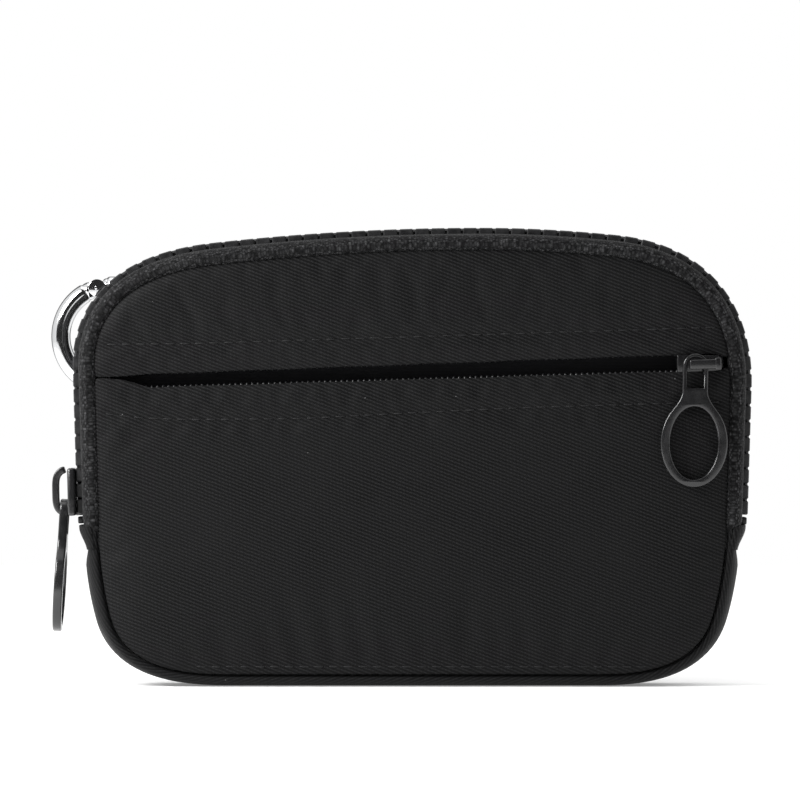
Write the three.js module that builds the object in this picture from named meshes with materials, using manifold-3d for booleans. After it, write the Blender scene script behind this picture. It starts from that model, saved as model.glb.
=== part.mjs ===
// Zippered pouch: a flat twill pouch with a moulded-tooth zip round its top and sides,
// a coil-zip pocket across its front, and a spring-gate ring held by a webbing tab at the back.
// Millimetres. X is right, Y runs from the front to the back, Z is up.
// The origin is the middle of the bottom gusset, on which the pouch stands.

import * as THREE from 'three';
import * as BufferGeometryUtils from 'three/addons/utils/BufferGeometryUtils.js';
import Module from 'manifold-3d';

const wasm = await Module();
wasm.setup();

// Body. The seam line is the edge where the front and back panels meet the band between them.
const HALF_DEPTH = 9.0;
const CLOTH = 1.1;
const LINING = 0.5;
const SEAM_LOW = 2.6;
const PANEL_OVER_SEAM = 1.2;
const LINING_INSET = 1.5;
const GAP = 0.3;
const BACK_LINING_FRONT = 6.9;
const FRONT_LINING_FRONT = -0.8;
const POCKET_BAG_FRONT = -1.6;
const POCKET_BAG_BOTTOM = 7.0;

// The fold across the front, level with the ends of the main zip, about which the mouth opens.
const FOLD_Z = 32.0;

// Band round the edge: gusset below the zip ends, zip tapes above them. Offsets outwards from the seam.
const GUSSET_IN = 1.6;
const GUSSET_OUT = 2.6;
const GUSSET_HALF_WIDTH = 7.8;
const GUSSET_TOP = 32.5;
const TAPE_IN = 1.7;
const TAPE_OUT = 2.7;
const TAPE_SEAM_Y = 8.4;
const TAPE_EDGE_Y = 0.6;
const TAPE_START = 32.9;

// Main zip: moulded teeth on the tape edges.
const TOOTH_PITCH = 3.2;
const TOOTH_SPACE = 0.32;
const TOOTH_FOOT = 3.0;
const TOOTH_ROOT = 3.5;
const TOOTH_TOP = 4.6;
const TOOTH_SIDE_Y = 3.0;
const TEETH_START = 34.4;
const STOP_LENGTH = 1.0;

// Main slider, on the straight part of the left side.
const SLIDER_Z = 39.1;
const SLIDER_LENGTH = 9.6;
const SLIDER_HALF_WIDTH = 5.2;
const SLIDER_INNER = [0.3, 1.4];
const SLIDER_OUTER = [4.9, 6.0];
const SLIDER_NECK_WIDTH = 0.6;
const BRIDGE_OUT = 9.55;
const BRIDGE_BAR = 1.3;
const BRIDGE_WIDTH = 1.6;
const BRIDGE_FOOT_Z = [-4.1, -2.8];
const BRIDGE_HOOK_Z = [3.7, 4.9];
const HOOK_OPENING = 0.4;
const SLIDER_NECK_LENGTH = 1.8;
const PLATE_OVERLAP = 0.5;
const MAIN_PULLER_PIVOT = [-7.1, 0, -1.85];

// Pocket zip across the front, sloping up a little to the right.
const POCKET_Z = 62.8;
const POCKET_SLOPE = 0.03;
const LIP_GAP = 2.7;
const COIL_GAP = 2.6;
const COIL_HEIGHT = 1.2;
const COIL_Y = [-6.9, -5.9];
const POCKET_TAPE_Y = [-7.6, -7.2];
const POCKET_TAPE = [2.6, 8.5];
const POCKET_COIL_END = 60.6;
const POCKET_SLIDER_X = 56.9;
const POCKET_POST_X = 55.9;
const POST_RADIUS = 0.8;
const POCKET_PLATE_HALF = 4.2;
const POCKET_FRONT_PLATE = { y: [-8.7, -7.8], z: [-2.2, 2.2] };
const POCKET_REAR_PLATE = { y: [-5.6, -4.8], z: [-4.4, 4.4] };
const POCKET_NECK = { x: [-4.0, -1.8], y: [-8.2, -5.2], z: [-0.8, 0.8] };
const POST_Y = [-13.2, -8.2];
const FAR_POST_X = [3.1, 4.2];
const POCKET_BAR = { y: [-13.7, -12.5], z: [-0.95, 0.95] };
const POCKET_PULLER_Y = -11.1;
const POCKET_PULLER_SHIFT = [0.35, 1.8];
const POCKET_PULLER_TURN = THREE.MathUtils.degToRad(1.2);
const POCKET_STOP_LENGTH = 1.2;

// Ring puller, the same on both zips: a slotted neck on an oval finger ring.
const PULLER_THICK = 1.8;
const NECK_HALF = 2.55;
const SLOT_HALF = 1.7;
const NECK_TOP = 0.43;
const SLOT_BOTTOM = -6.6;
const LOOP_CENTRE = -17.5;
const LOOP_OUT = [6.7, 8.8];
const LOOP_IN = [4.8, 7.3];
const MAIN_PULLER_LEAN = THREE.MathUtils.degToRad(3.5);

// Spring-gate ring and its webbing tab.
const RING_CENTRE = new THREE.Vector3(-61.7, 12.9, 70.4);
const RING_RADIUS = 10.25;
const WIRE_RADIUS = 1.95;
const GATE_PIN_ANGLE = 106;
const GATE_REACH = 8.0;
const GATE_TIP_ANGLE = 54;
const RING_END_ANGLE = 67;
const RING_END_LENGTH = 27;
const TAB_ANGLE = 15;
const TAB_WIDTH = 5;
const TAB_THICK = 1.0;
const TAB_TAIL = 14;

const pouch = new THREE.Group();

const TWILL = { color: 0x1b1b1c, roughness: 0.75, metalness: 0 };
const LINING_CLOTH = { color: 0x202022, roughness: 0.85, metalness: 0 };
const TAPE = { color: 0x1e1e1f, roughness: 0.9, metalness: 0 };
const MOULDED = { color: 0x161617, roughness: 0.5, metalness: 0 };
const LACQUER = { color: 0x101011, roughness: 0.3, metalness: 0.4 };
const CHROME = { color: 0xd6d7d9, roughness: 0.12, metalness: 1 };

function addPiece(name, geometry, look, parent = pouch) {
  const mesh = new THREE.Mesh(geometry, new THREE.MeshStandardMaterial(look));
  mesh.name = name;
  parent.add(mesh);
  return mesh;
}

// Manifold solids for the few boolean cuts and joins.
function toSolid(geometry) {
  const bare = geometry.clone();
  bare.deleteAttribute('normal');
  bare.deleteAttribute('uv');
  const merged = BufferGeometryUtils.mergeVertices(bare, 1e-5);
  return new wasm.Manifold(new wasm.Mesh({
    numProp: 3,
    vertProperties: new Float32Array(merged.attributes.position.array),
    triVerts: new Uint32Array(merged.index.array),
  }));
}

function toGeometry(solid) {
  const mesh = solid.getMesh();
  const geometry = new THREE.BufferGeometry();
  geometry.setAttribute('position', new THREE.BufferAttribute(mesh.vertProperties, 3));
  geometry.setIndex(new THREE.BufferAttribute(mesh.triVerts, 1));
  geometry.computeVertexNormals();
  return geometry;
}

function join(...geometries) {
  return toGeometry(geometries.map(toSolid).reduce((whole, next) => whole.add(next)));
}

function cut(geometry, ...tools) {
  return toGeometry(tools.map(toSolid).reduce((whole, tool) => whole.subtract(tool), toSolid(geometry)));
}

function common(geometry, other) {
  return toGeometry(toSolid(geometry).intersect(toSolid(other)));
}

function box(x, y, z) {
  const geometry = new THREE.BoxGeometry(x[1] - x[0], y[1] - y[0], z[1] - z[0]);
  return geometry.translate((x[0] + x[1]) / 2, (y[0] + y[1]) / 2, (z[0] + z[1]) / 2);
}

// A flat shape in the XZ plane given thickness between two Y values.
function slab(shape, yFront, yBack) {
  const geometry = new THREE.ExtrudeGeometry(shape, { depth: yBack - yFront, bevelEnabled: false });
  return geometry.rotateX(Math.PI / 2).translate(0, yBack, 0);
}

function pillar(radius, y, x = 0, z = 0) {
  const geometry = new THREE.CylinderGeometry(radius, radius, y[1] - y[0], 20);
  return geometry.translate(x, (y[0] + y[1]) / 2, z);
}

// The seam line, anticlockwise from the bottom middle.
function seamOutline() {
  const path = new THREE.Path();
  path.moveTo(0, SEAM_LOW);
  path.lineTo(38, SEAM_LOW);
  path.bezierCurveTo(50.5, SEAM_LOW, 57.4, 6.5, 59.6, 14);
  path.bezierCurveTo(61.3, 19.8, 62.2, 26, 62.5, 34);
  path.lineTo(63.3, 60);
  path.bezierCurveTo(63.7, 73, 57.5, 84.3, 40, 86);
  path.bezierCurveTo(31, 86.9, 23, 87.4, 13, 87.4);
  path.bezierCurveTo(-6, 87.4, -24, 86.2, -40, 84.4);
  path.bezierCurveTo(-56, 82.6, -64.2, 75.5, -64, 64);
  path.lineTo(-63.1, 34);
  path.bezierCurveTo(-62.8, 25, -62.2, 20, -60.6, 14);
  path.bezierCurveTo(-58.5, 6, -51, SEAM_LOW, -38, SEAM_LOW);
  path.lineTo(0, SEAM_LOW);
  return path;
}

const SEAM = seamOutline();
const LEFT_SIDE_LEAN = Math.atan2(64 - 63.1, 64 - 34);

function besideSeam(t, offset) {
  const turn = (t + 1) % 1;
  const point = SEAM.getPoint(turn);
  const along = SEAM.getTangent(turn);
  return new THREE.Vector2(point.x + along.y * offset, point.y - along.x * offset);
}

// Where the seam line passes a height, on its rising right side or its falling left side.
function seamAt(height, rising) {
  let low = rising ? 0.1 : 0.6;
  let high = rising ? 0.4 : 0.9;
  for (let step = 0; step < 40; step++) {
    const middle = (low + high) / 2;
    const below = SEAM.getPoint(middle).y < height;
    if (below === rising) low = middle;
    else high = middle;
  }
  return low;
}

function offsetShape(offset, count = 96) {
  const points = Array.from({ length: count }, (_, i) => besideSeam(i / count, offset));
  return new THREE.Shape(points);
}

// A strip of the band between two places on the seam line.
function bandShape(from, to, inner, outer, count) {
  const steps = Array.from({ length: count + 1 }, (_, i) => from + ((to - from) * i) / count);
  const outside = steps.map((t) => besideSeam(t, outer));
  const inside = steps.reverse().map((t) => besideSeam(t, inner));
  return new THREE.Shape([...outside, ...inside]);
}

function pocketLine(x) {
  return POCKET_Z + POCKET_SLOPE * x;
}

// A strip along the pocket zip, from xs[0] to xs[1] and between two heights over its middle line.
function pocketStrip(xs, above) {
  return new THREE.Shape([
    new THREE.Vector2(xs[0], pocketLine(xs[0]) + above[0]),
    new THREE.Vector2(xs[1], pocketLine(xs[1]) + above[0]),
    new THREE.Vector2(xs[1], pocketLine(xs[1]) + above[1]),
    new THREE.Vector2(xs[0], pocketLine(xs[0]) + above[1]),
  ]);
}

const WIDE = [-90, 90];
const DEEP = [-30, 30];

function keepBetween(geometry, lowZ, highZ) {
  return common(geometry, box(WIDE, DEEP, [lowZ, highZ]));
}

// Back of the pouch: outer twill panel and the lining behind the main compartment.
function addBack() {
  addPiece('back_panel', slab(offsetShape(PANEL_OVER_SEAM), HALF_DEPTH - CLOTH, HALF_DEPTH), TWILL);
  const lining = slab(offsetShape(-LINING_INSET, 72), BACK_LINING_FRONT, BACK_LINING_FRONT + LINING);
  addPiece('back_lining', lining, LINING_CLOTH);
}

// Front of the pouch: the panel over the pocket zip, and the pocket panel under it, which folds.
function addFront() {
  const panel = slab(offsetShape(PANEL_OVER_SEAM), -HALF_DEPTH, CLOTH - HALF_DEPTH);
  const overLip = slab(pocketStrip(WIDE, [LIP_GAP, 90]), -20, 0);
  const underLip = slab(pocketStrip(WIDE, [-90, -LIP_GAP]), -20, 0);
  addPiece('front_upper_panel', common(panel, overLip), TWILL);
  const pocketPanel = common(panel, underLip);
  addPiece('pocket_panel_upper', keepBetween(pocketPanel, FOLD_Z + GAP, 90), TWILL);
  addPiece('pocket_panel_lower', keepBetween(pocketPanel, 0, FOLD_Z - GAP), TWILL);
  const lining = slab(offsetShape(-LINING_INSET, 72), FRONT_LINING_FRONT, FRONT_LINING_FRONT + LINING);
  addPiece('front_lining_upper', keepBetween(lining, FOLD_Z + GAP, 90), LINING_CLOTH);
  addPiece('front_lining_lower', keepBetween(lining, 0, FOLD_Z - GAP), LINING_CLOTH);
  const bag = slab(offsetShape(-LINING_INSET, 72), POCKET_BAG_FRONT, POCKET_BAG_FRONT + LINING);
  addPiece('pocket_bag_upper', keepBetween(bag, FOLD_Z + GAP, 76), LINING_CLOTH);
  addPiece('pocket_bag_lower', keepBetween(bag, POCKET_BAG_BOTTOM, FOLD_Z - GAP), LINING_CLOTH);
}

// Plain twill gusset under the zip ends, with a folded tab sewn over each end of the zip.
function addGusset() {
  const right = seamAt(GUSSET_TOP, true);
  const left = seamAt(GUSSET_TOP, false);
  const half = [-GUSSET_HALF_WIDTH, GUSSET_HALF_WIDTH];
  const shape = bandShape(left - 1, right, GUSSET_IN, GUSSET_OUT, 64);
  addPiece('bottom_gusset', slab(shape, ...half), TWILL);
  for (const [side, rising] of [['left', false], ['right', true]]) {
    const ends = [seamAt(29.4, rising), seamAt(GUSSET_TOP, rising)].sort();
    const tab = bandShape(...ends, GUSSET_OUT + GAP, GUSSET_OUT + 1.7, 2);
    addPiece(`zip_end_tab_${side}`, slab(tab, -4.5, 4.5), TWILL);
  }
}

// Teeth of one tape in one piece: a low rail with a block at every pitch.
function teethShape() {
  const from = seamAt(TEETH_START, true);
  const to = seamAt(TEETH_START, false);
  const length = SEAM.getLength() * (to - from);
  const count = Math.round(length / TOOTH_PITCH);
  const pitch = (to - from) / count;
  const space = (pitch * TOOTH_SPACE) / TOOTH_PITCH;
  const outside = [];
  for (let tooth = 0; tooth < count; tooth++) {
    const start = from + tooth * pitch;
    outside.push(besideSeam(start, TOOTH_TOP), besideSeam(start + pitch - space, TOOTH_TOP));
    if (tooth < count - 1) {
      outside.push(besideSeam(start + pitch - space, TOOTH_ROOT), besideSeam(start + pitch, TOOTH_ROOT));
    }
  }
  const end = from + count * pitch - space;
  const inside = Array.from({ length: 61 }, (_, i) => besideSeam(end + ((from - end) * i) / 60, TOOTH_FOOT));
  return new THREE.Shape([...outside, ...inside]);
}

// Main zip: a tape and a row of teeth on each side of the middle, and the stops at its ends.
function addMainZip() {
  const from = seamAt(TAPE_START, true);
  const to = seamAt(TAPE_START, false);
  const tape = bandShape(from, to, TAPE_IN, TAPE_OUT, 72);
  const teeth = teethShape();
  const stopEnds = [seamAt(TAPE_START + STOP_LENGTH, false), seamAt(TAPE_START, false)];
  const stop = bandShape(...stopEnds, TOOTH_FOOT, TOOTH_TOP - 0.3, 1);
  addPiece('front_zip_tape', slab(tape, -TAPE_SEAM_Y, -TAPE_EDGE_Y), TAPE);
  addPiece('back_zip_tape', slab(tape, TAPE_EDGE_Y, TAPE_SEAM_Y), TAPE);
  addPiece('front_zip_teeth', slab(teeth, -TOOTH_SIDE_Y, -TAPE_EDGE_Y), MOULDED);
  addPiece('back_zip_teeth', slab(teeth, TAPE_EDGE_Y, TOOTH_SIDE_Y), MOULDED);
  addPiece('front_top_stop', slab(stop, -2.4, -TAPE_EDGE_Y), MOULDED);
  addPiece('back_top_stop', slab(stop, TAPE_EDGE_Y, 2.4), MOULDED);
  const bottomEnds = [from, seamAt(TAPE_START + STOP_LENGTH, true)];
  const bottomStop = bandShape(...bottomEnds, TOOTH_FOOT, TOOTH_TOP - 0.3, 1);
  addPiece('zip_bottom_stop', slab(bottomStop, -2.6, 2.6), MOULDED);
}

// Outline of the ring puller, with its crossbar at the origin and the finger ring below.
function pullerShape() {
  const neckCentre = NECK_TOP - NECK_HALF;
  const eighth = Math.PI / 4;
  const joinX = LOOP_OUT[0] * Math.cos(eighth);
  const joinZ = LOOP_CENTRE + LOOP_OUT[1] * Math.sin(eighth);
  const neckEnd = SLOT_BOTTOM - 0.4;
  const shape = new THREE.Shape();
  shape.absarc(0, neckCentre, NECK_HALF, 0, Math.PI);
  shape.lineTo(-NECK_HALF, neckEnd);
  shape.bezierCurveTo(-NECK_HALF, neckEnd - 1.6, 0.97 - joinX, joinZ + 1.27, -joinX, joinZ);
  shape.absellipse(0, LOOP_CENTRE, ...LOOP_OUT, 3 * eighth, 9 * eighth);
  shape.bezierCurveTo(joinX - 0.97, joinZ + 1.27, NECK_HALF, neckEnd - 1.6, NECK_HALF, neckEnd);
  const slot = new THREE.Path();
  slot.absarc(0, neckCentre, SLOT_HALF, 0, Math.PI);
  slot.lineTo(-SLOT_HALF, SLOT_BOTTOM);
  slot.lineTo(SLOT_HALF, SLOT_BOTTOM);
  const finger = new THREE.Path();
  finger.absellipse(0, LOOP_CENTRE, ...LOOP_IN, 0, 2 * Math.PI);
  shape.holes.push(slot, finger);
  return shape;
}

function pullerGeometry() {
  const chamfer = 0.25;
  const geometry = new THREE.ExtrudeGeometry(pullerShape(), {
    depth: PULLER_THICK - 2 * chamfer,
    curveSegments: 20,
    bevelThickness: chamfer,
    bevelSize: chamfer,
    bevelOffset: -chamfer,
    bevelSegments: 1,
  });
  return geometry.translate(0, 0, chamfer - PULLER_THICK / 2).rotateX(Math.PI / 2);
}

// Main slider in its own frame: -X points out of the pouch and Z along the zip.
function mainSliderGeometry() {
  const half = SLIDER_LENGTH / 2;
  const across = [-SLIDER_HALF_WIDTH, SLIDER_HALF_WIDTH];
  const bar = [-BRIDGE_WIDTH / 2, BRIDGE_WIDTH / 2];
  const inner = box([-SLIDER_INNER[1], -SLIDER_INNER[0]], across, [-half, half]);
  const outer = box([-SLIDER_OUTER[1], -SLIDER_OUTER[0]], across, [-half, half]);
  const neckAcross = [-SLIDER_NECK_WIDTH / 2, SLIDER_NECK_WIDTH / 2];
  const neckDeep = [-SLIDER_OUTER[0] - PLATE_OVERLAP, -SLIDER_INNER[1] + PLATE_OVERLAP];
  const neck = box(neckDeep, neckAcross, [-half, -half + SLIDER_NECK_LENGTH]);
  const crown = box([-BRIDGE_OUT, BRIDGE_BAR - BRIDGE_OUT], bar, [BRIDGE_FOOT_Z[0], BRIDGE_HOOK_Z[1]]);
  const foot = box([-BRIDGE_OUT, -SLIDER_OUTER[1] + PLATE_OVERLAP], bar, BRIDGE_FOOT_Z);
  const hook = box([-BRIDGE_OUT, -SLIDER_OUTER[1] - HOOK_OPENING], bar, BRIDGE_HOOK_Z);
  return join(inner, outer, neck, crown, foot, hook);
}

function addMainSlider() {
  const group = new THREE.Group();
  const seamX = -63.1 - (SLIDER_Z - 34) * Math.tan(LEFT_SIDE_LEAN);
  group.position.set(seamX, 0, SLIDER_Z);
  group.rotation.y = -LEFT_SIDE_LEAN;
  addPiece('main_slider', mainSliderGeometry(), LACQUER, group);
  const puller = addPiece('main_puller', pullerGeometry().rotateZ(Math.PI / 2), LACQUER, group);
  puller.position.set(...MAIN_PULLER_PIVOT);
  puller.rotation.y = MAIN_PULLER_LEAN + LEFT_SIDE_LEAN;
  pouch.add(group);
}

// Pocket slider in its own frame: X along the zip, with the front plate between the lips.
function pocketSliderGeometry() {
  const post = POCKET_POST_X - POCKET_SLIDER_X;
  const long = [-POCKET_PLATE_HALF, POCKET_PLATE_HALF];
  const front = box(long, POCKET_FRONT_PLATE.y, POCKET_FRONT_PLATE.z);
  const rear = box(long, POCKET_REAR_PLATE.y, POCKET_REAR_PLATE.z);
  const neck = box(POCKET_NECK.x, POCKET_NECK.y, POCKET_NECK.z);
  const nearPost = pillar(POST_RADIUS, POST_Y, post, 0);
  const farPost = box(FAR_POST_X, POST_Y, POCKET_BAR.z);
  const crown = box([post - POST_RADIUS, FAR_POST_X[1]], POCKET_BAR.y, POCKET_BAR.z);
  return join(front, rear, neck, nearPost, farPost, crown);
}

// Pocket zip: two tapes with coils, a stop at each end, the slider and its puller.
function addPocketZip() {
  const reach = POCKET_COIL_END - 0.8;
  for (const [side, sign] of [['upper', 1], ['lower', -1]]) {
    const tape = POCKET_TAPE.map((height) => height * sign).sort((a, b) => a - b);
    const coil = [COIL_GAP * sign, (COIL_GAP + COIL_HEIGHT) * sign].sort((a, b) => a - b);
    addPiece(`pocket_zip_tape_${side}`, slab(pocketStrip([-reach, reach], tape), ...POCKET_TAPE_Y), TAPE);
    const coilEnds = [-POCKET_COIL_END, POCKET_COIL_END];
    addPiece(`pocket_coil_${side}`, slab(pocketStrip(coilEnds, coil), ...COIL_Y), MOULDED);
  }
  for (const [side, sign] of [['left', -1], ['right', 1]]) {
    const near = POCKET_COIL_END + GAP;
    const ends = [sign * near, sign * (near + POCKET_STOP_LENGTH)].sort((a, b) => a - b);
    const height = COIL_GAP + COIL_HEIGHT;
    addPiece(`pocket_stop_${side}`, slab(pocketStrip(ends, [-height, height]), ...COIL_Y), LACQUER);
  }
  const slider = addPiece('pocket_slider', pocketSliderGeometry(), LACQUER);
  slider.position.set(POCKET_SLIDER_X, 0, pocketLine(POCKET_SLIDER_X));
  slider.rotation.y = -Math.atan(POCKET_SLOPE);
  const puller = addPiece('pocket_puller', pullerGeometry(), LACQUER);
  const [right, up] = POCKET_PULLER_SHIFT;
  puller.position.set(POCKET_POST_X + right, POCKET_PULLER_Y, pocketLine(POCKET_POST_X) + up);
  puller.rotation.y = POCKET_PULLER_TURN;
}

// Part of the ring: round wire bent to the ring's radius between two angles, in the XZ plane.
function wireArc(fromDegrees, toDegrees, steps) {
  const from = THREE.MathUtils.degToRad(fromDegrees);
  const to = THREE.MathUtils.degToRad(toDegrees);
  const centreLine = new THREE.Curve();
  centreLine.getPoint = (t) => {
    const angle = from + (to - from) * t;
    return new THREE.Vector3(RING_RADIUS * Math.cos(angle), 0, RING_RADIUS * Math.sin(angle));
  };
  const section = new THREE.Shape();
  section.absarc(0, 0, WIRE_RADIUS, 0, 2 * Math.PI);
  return new THREE.ExtrudeGeometry(section, { extrudePath: centreLine, steps, curveSegments: 14 });
}

function onRing(degrees) {
  const angle = THREE.MathUtils.degToRad(degrees);
  return new THREE.Vector3(RING_RADIUS * Math.cos(angle), 0, RING_RADIUS * Math.sin(angle));
}

// The ring's fork, the gate's tongue between its cheeks, and the pin through both. The gate's tip
// and the ring's end that it meets are cut round the pin, so that the gate swings past the end.
function addRing() {
  const group = new THREE.Group();
  group.position.copy(RING_CENTRE);
  const pin = onRing(GATE_PIN_ANGLE);
  const around = (radius, halfWidth) => pillar(radius, [-halfWidth, halfWidth], pin.x, pin.z);
  const endFrom = RING_END_ANGLE + 360 - RING_END_LENGTH;
  const hoop = wireArc(GATE_PIN_ANGLE, endFrom, 52);
  const end = cut(wireArc(endFrom - 1, RING_END_ANGLE + 360, 6), around(GATE_REACH + GAP, 4));
  const fork = join(hoop, end, around(1.7, 1.9));
  addPiece('ring_body', cut(fork, around(2.0, 1.2), around(0.75, 4)), CHROME, group);
  const arm = common(wireArc(GATE_TIP_ANGLE, GATE_PIN_ANGLE, 12), around(GATE_REACH, 4));
  const tongue = common(join(arm, around(1.5, 0.85)), box(WIDE, [-0.85, 0.85], WIDE));
  addPiece('ring_gate', cut(join(cut(arm, around(2.05, 4)), tongue), around(0.75, 4)), CHROME, group);
  addPiece('gate_pin', around(0.45, 1.85), CHROME, group);
  pouch.add(group);
}

// Webbing tab: one strap folded round the ring's wire, its two layers sewn to the back panel.
function addRingTab() {
  const outer = WIRE_RADIUS + 0.65 + TAB_THICK;
  const layers = 1.6;
  const meet = Math.asin((outer - layers) / outer);
  const shape = new THREE.Shape();
  shape.moveTo(TAB_TAIL, -outer);
  shape.lineTo(TAB_TAIL, layers - outer);
  shape.absarc(0, 0, outer, -meet, 1.5 * Math.PI);
  const hole = new THREE.Path();
  hole.absarc(0, 0, outer - TAB_THICK, 0, 2 * Math.PI);
  shape.holes.push(hole);
  const geometry = new THREE.ExtrudeGeometry(shape, { depth: TAB_WIDTH, bevelEnabled: false });
  geometry.translate(0, 0, -TAB_WIDTH / 2);
  const tab = addPiece('ring_tab', geometry, TAPE);
  const outward = onRing(TAB_ANGLE).normalize();
  const back = new THREE.Vector3(0, 1, 0);
  const along = new THREE.Vector3().crossVectors(outward, back);
  tab.quaternion.setFromRotationMatrix(new THREE.Matrix4().makeBasis(outward, back, along));
  tab.position.copy(onRing(TAB_ANGLE)).add(RING_CENTRE);
}

addBack();
addFront();
addGusset();
addMainZip();
addMainSlider();
addPocketZip();
addRing();
addRingTab();

export default pouch;
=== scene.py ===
# Zippered pouch in black nylon twill: flat body, zip pocket across the front, moulded-tooth zip
# round the top and sides, ring pullers and a polished spring-gate ring on a webbing tab.
# Metres, X right, Y front to back, Z up, origin under the middle of the bottom gusset.
import math
import bpy
import numpy as np
from mathutils import Matrix, Vector
from mathutils.bvhtree import BVHTree
from mathutils.geometry import delaunay_2d_cdt


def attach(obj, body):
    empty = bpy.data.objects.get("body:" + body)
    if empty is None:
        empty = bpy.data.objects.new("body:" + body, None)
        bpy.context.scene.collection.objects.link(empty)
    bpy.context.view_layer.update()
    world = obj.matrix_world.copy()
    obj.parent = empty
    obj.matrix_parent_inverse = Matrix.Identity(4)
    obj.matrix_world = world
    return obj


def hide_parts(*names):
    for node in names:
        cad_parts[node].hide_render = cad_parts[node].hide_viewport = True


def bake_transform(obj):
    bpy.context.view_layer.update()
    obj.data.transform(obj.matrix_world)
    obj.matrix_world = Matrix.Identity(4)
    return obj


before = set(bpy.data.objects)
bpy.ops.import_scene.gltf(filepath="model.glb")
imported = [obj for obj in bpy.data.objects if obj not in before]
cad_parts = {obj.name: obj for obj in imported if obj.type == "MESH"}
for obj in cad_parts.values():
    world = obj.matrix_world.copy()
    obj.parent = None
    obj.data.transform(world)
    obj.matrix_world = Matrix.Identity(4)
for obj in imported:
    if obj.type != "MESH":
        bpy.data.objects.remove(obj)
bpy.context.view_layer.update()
bpy.ops.object.select_all(action="DESELECT")


# ---- Twill panels -----------------------------------------------------------------------------
# Front pocket panel, front upper panel and back panel, cut from dense black nylon twill and sewn
# all round into the edge band. The two front panels are turned in along the pocket zip to make
# its lips, and each lip has one row of topstitching.
MM = 0.001
SEAM_START = (0, 2.6)
SEAM_STEPS = [
    [(38, 2.6)],
    [(50.5, 2.6), (57.4, 6.5), (59.6, 14)],
    [(61.3, 19.8), (62.2, 26), (62.5, 34)],
    [(63.3, 60)],
    [(63.7, 73), (57.5, 84.3), (40, 86)],
    [(31, 86.9), (23, 87.4), (13, 87.4)],
    [(-6, 87.4), (-24, 86.2), (-40, 84.4)],
    [(-56, 82.6), (-64.2, 75.5), (-64, 64)],
    [(-63.1, 34)],
    [(-62.8, 25), (-62.2, 20), (-60.6, 14)],
    [(-58.5, 6), (-51, 2.6), (-38, 2.6)],
    [(0, 2.6)],
]
RIM_SPACING = 1.2
STITCH_HOLD = 0.7
CLOTH_PUSH, CLOTH_STRETCH, CLOTH_STEPS, CLOTH_ENLARGED = 1.2, 0.012, 20, 10


def trace_seam():
    """The seam line in millimetres as 3000 even points (x, z), with its outward normals."""
    line = [np.array(SEAM_START, float)]
    for step in SEAM_STEPS:
        knots = [line[-1]] + [np.array(p, float) for p in step]
        t = np.linspace(0, 1, 121)[1:, None]
        if len(step) == 1:
            line.extend(knots[0] + (knots[1] - knots[0]) * t)
        else:
            line.extend(knots[0] * (1 - t) ** 3 + 3 * knots[1] * t * (1 - t) ** 2
                        + 3 * knots[2] * t * t * (1 - t) + knots[3] * t ** 3)
    line = np.array(line)
    travel = np.concatenate([[0], np.cumsum(np.linalg.norm(np.diff(line, axis=0), axis=1))])
    even = np.linspace(0, travel[-1], 3001)[:-1]
    points = np.stack([np.interp(even, travel, line[:, k]) for k in (0, 1)], 1)
    along = np.roll(points, -8, 0) - np.roll(points, 8, 0)
    along /= np.linalg.norm(along, axis=1)[:, None]
    return points, np.stack([along[:, 1], -along[:, 0]], 1), travel[-1]


SEAM, SEAM_OUT, SEAM_LENGTH = trace_seam()


def beside_seam(turn, offset):
    """Points (x, z) in mm at shares of the way round the seam, moved outwards by offset mm."""
    at = (np.asarray(turn, float) % 1) * len(SEAM)
    low = np.floor(at).astype(int) % len(SEAM)
    part = (at - np.floor(at))[..., None]
    mix = lambda a: a[low] * (1 - part) + a[(low + 1) % len(SEAM)] * part
    return mix(SEAM) + mix(SEAM_OUT) * np.asarray(offset, float)[..., None]


def crossing(line, side):
    """The share of the way round at which the seam meets a line z(x) on the right or the left."""
    half = slice(300, 1200) if side == "right" else slice(1800, 2700)
    shares = np.arange(len(SEAM))[half] / len(SEAM)
    return float(shares[np.argmin(abs(SEAM[half, 1] - line(SEAM[half, 0])))])


def seam_at(height, side):
    return crossing(lambda x: height, side)


def all_round(spacing, offset):
    """Points (x, z) in mm all the way round the seam, about spacing apart, moved outwards."""
    return beside_seam(np.linspace(0, 1, round(SEAM_LENGTH / spacing) + 1)[:-1], offset)


ZIP_HEIGHT, ZIP_RISE = 62.8, 0.03
ZIP_SLOPE = math.atan(ZIP_RISE)


def zip_line(x):
    return ZIP_HEIGHT + ZIP_RISE * x


def lower_lip(x):
    end = np.interp(x, [-66, -58, -53, 61.5, 64], [0.9, 0.2, -1.5, -1.5, -0.4])
    return zip_line(x) + end - 0.12 * np.sin(x / 7.0) ** 2


def upper_lip(x):
    end = np.interp(x, [-66, -58, -53, 20, 60, 64], [1.3, 1.3, 1.6, 2.1, 2.3, 1.0])
    return zip_line(x) + end + 0.1 * np.sin(x / 6.0 + 1) ** 2


def lower_stitch(x):
    return np.interp(x, [-64, -54, -44.8, -22.8, 0.2, 22, 45.2, 64],
                     [54.9, 53.8, 53.5, 53.7, 54.9, 55.9, 56.6, 57.1])


def upper_stitch(x):
    return np.interp(x, [-64, -45, 0, 45.7, 64], [68.5, 68.7, 70.1, 71.5, 72.1])


def smooth_step(value, low, high):
    t = np.clip((np.asarray(value, float) - low) / (high - low), 0, 1)
    return t * t * (3 - 2 * t)


def space_out(points, gap):
    """A polyline resampled evenly, with both its ends kept."""
    travel = np.concatenate([[0], np.cumsum(np.linalg.norm(np.diff(points, axis=0), axis=1))])
    even = np.linspace(0, travel[-1], max(2, round(travel[-1] / gap) + 1))
    return np.stack([np.interp(even, travel, points[:, k]) for k in range(points.shape[1])], 1)


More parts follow.
